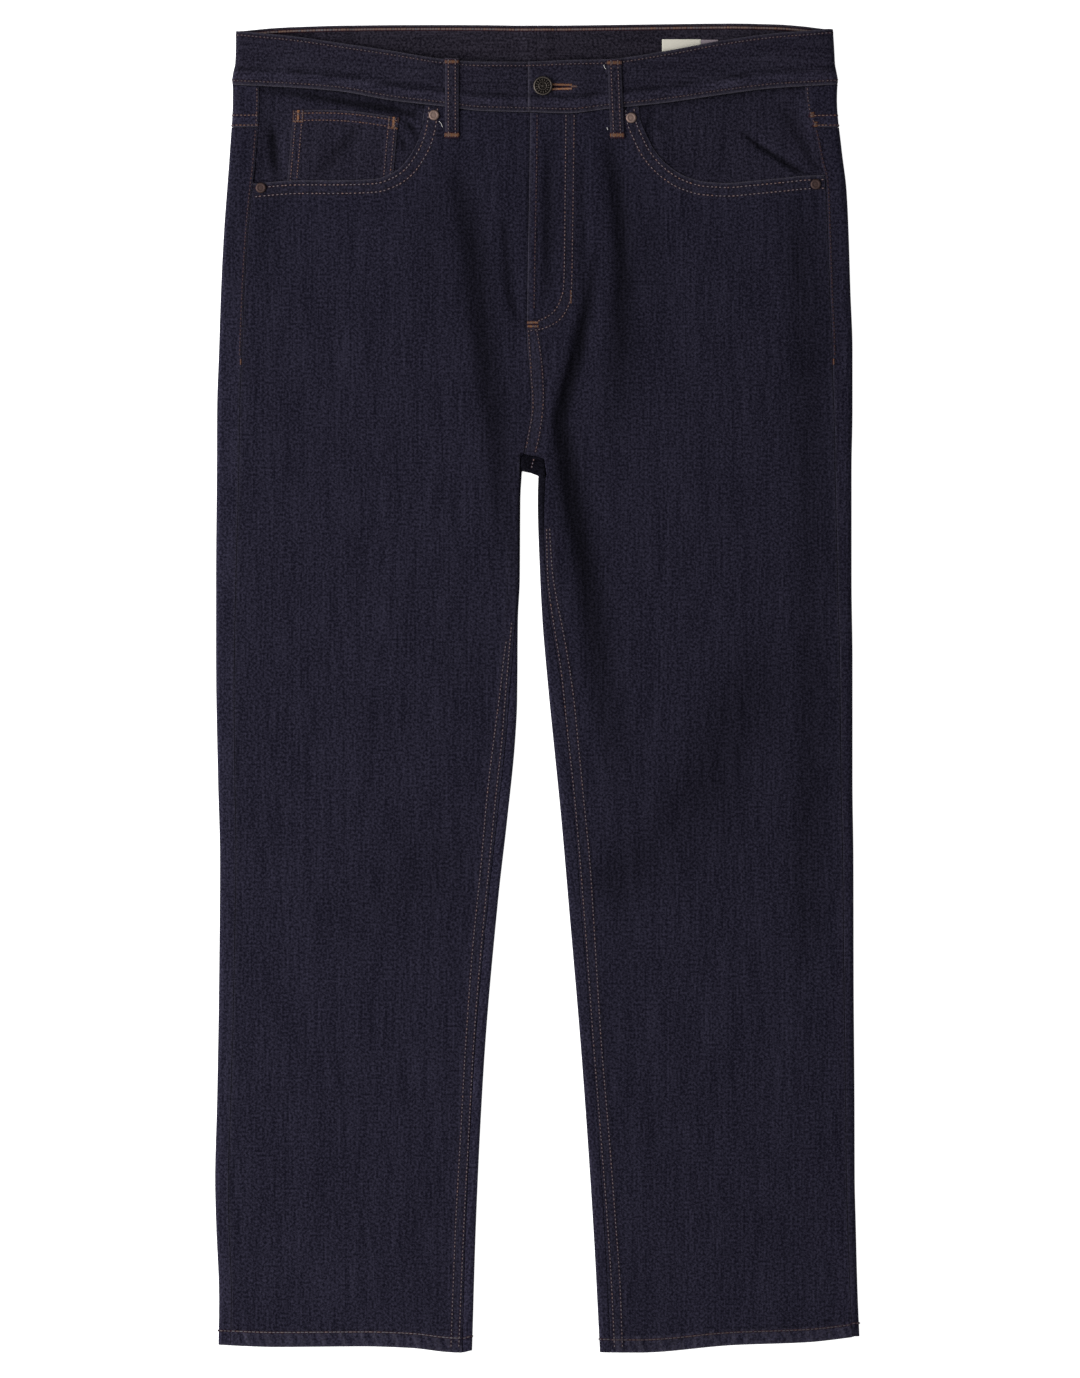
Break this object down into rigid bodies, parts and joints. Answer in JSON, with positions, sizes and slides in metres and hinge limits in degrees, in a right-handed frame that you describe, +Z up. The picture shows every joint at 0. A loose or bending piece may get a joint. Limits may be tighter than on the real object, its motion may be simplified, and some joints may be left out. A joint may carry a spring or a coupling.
{
  "type": "straight leg jeans",
  "caption": "Dark indigo straight-leg jeans laid flat face up, buttoned at the waist, with front and back pockets, belt loops, rivets and topstitching.",
  "frame": {"origin": "on the surface that the jeans lie on, in the middle of their footprint", "axes": "+X to the wearer's left, +Y from the hems to the waistband, +Z up out of the surface through the front of the jeans"},
  "size_m": [0.5472, 1.1288, 0.0114],
  "materials": {
    "denim": "raw dark indigo twill, matt, with a fine slub and lighter worn ridges along the seams",
    "button_metal": "antiqued dark metal with worn raised rings",
    "rivet_metal": "copper-coloured, tarnished",
    "label_cloth": "plain cream woven tape",
    "tab_cloth": "plain grey woven tape"
  },
  "bodies": {
    "root": {"back_left": "denim", "back_right": "denim", "belt_loop_back_centre": "denim", "belt_loop_back_left": "denim", "belt_loop_back_right": "denim", "belt_loop_front_left": "denim", "belt_loop_front_right": "denim", "button": "button_metal", "coin_pocket": "denim", "front_left": "denim", "front_right": "denim", "label": "label_cloth", "label_tab": "tab_cloth", "pocket_back_left": "denim", "pocket_back_right": "denim", "pocket_facing_left": "denim", "pocket_facing_right": "denim", "rivet_left_lower": "rivet_metal", "rivet_left_upper": "rivet_metal", "rivet_right_lower": "rivet_metal", "rivet_right_upper": "rivet_metal", "waistband_left": "denim", "waistband_right": "denim", "yoke_left": "denim", "yoke_right": "denim"}
  },
  "joints": []
}
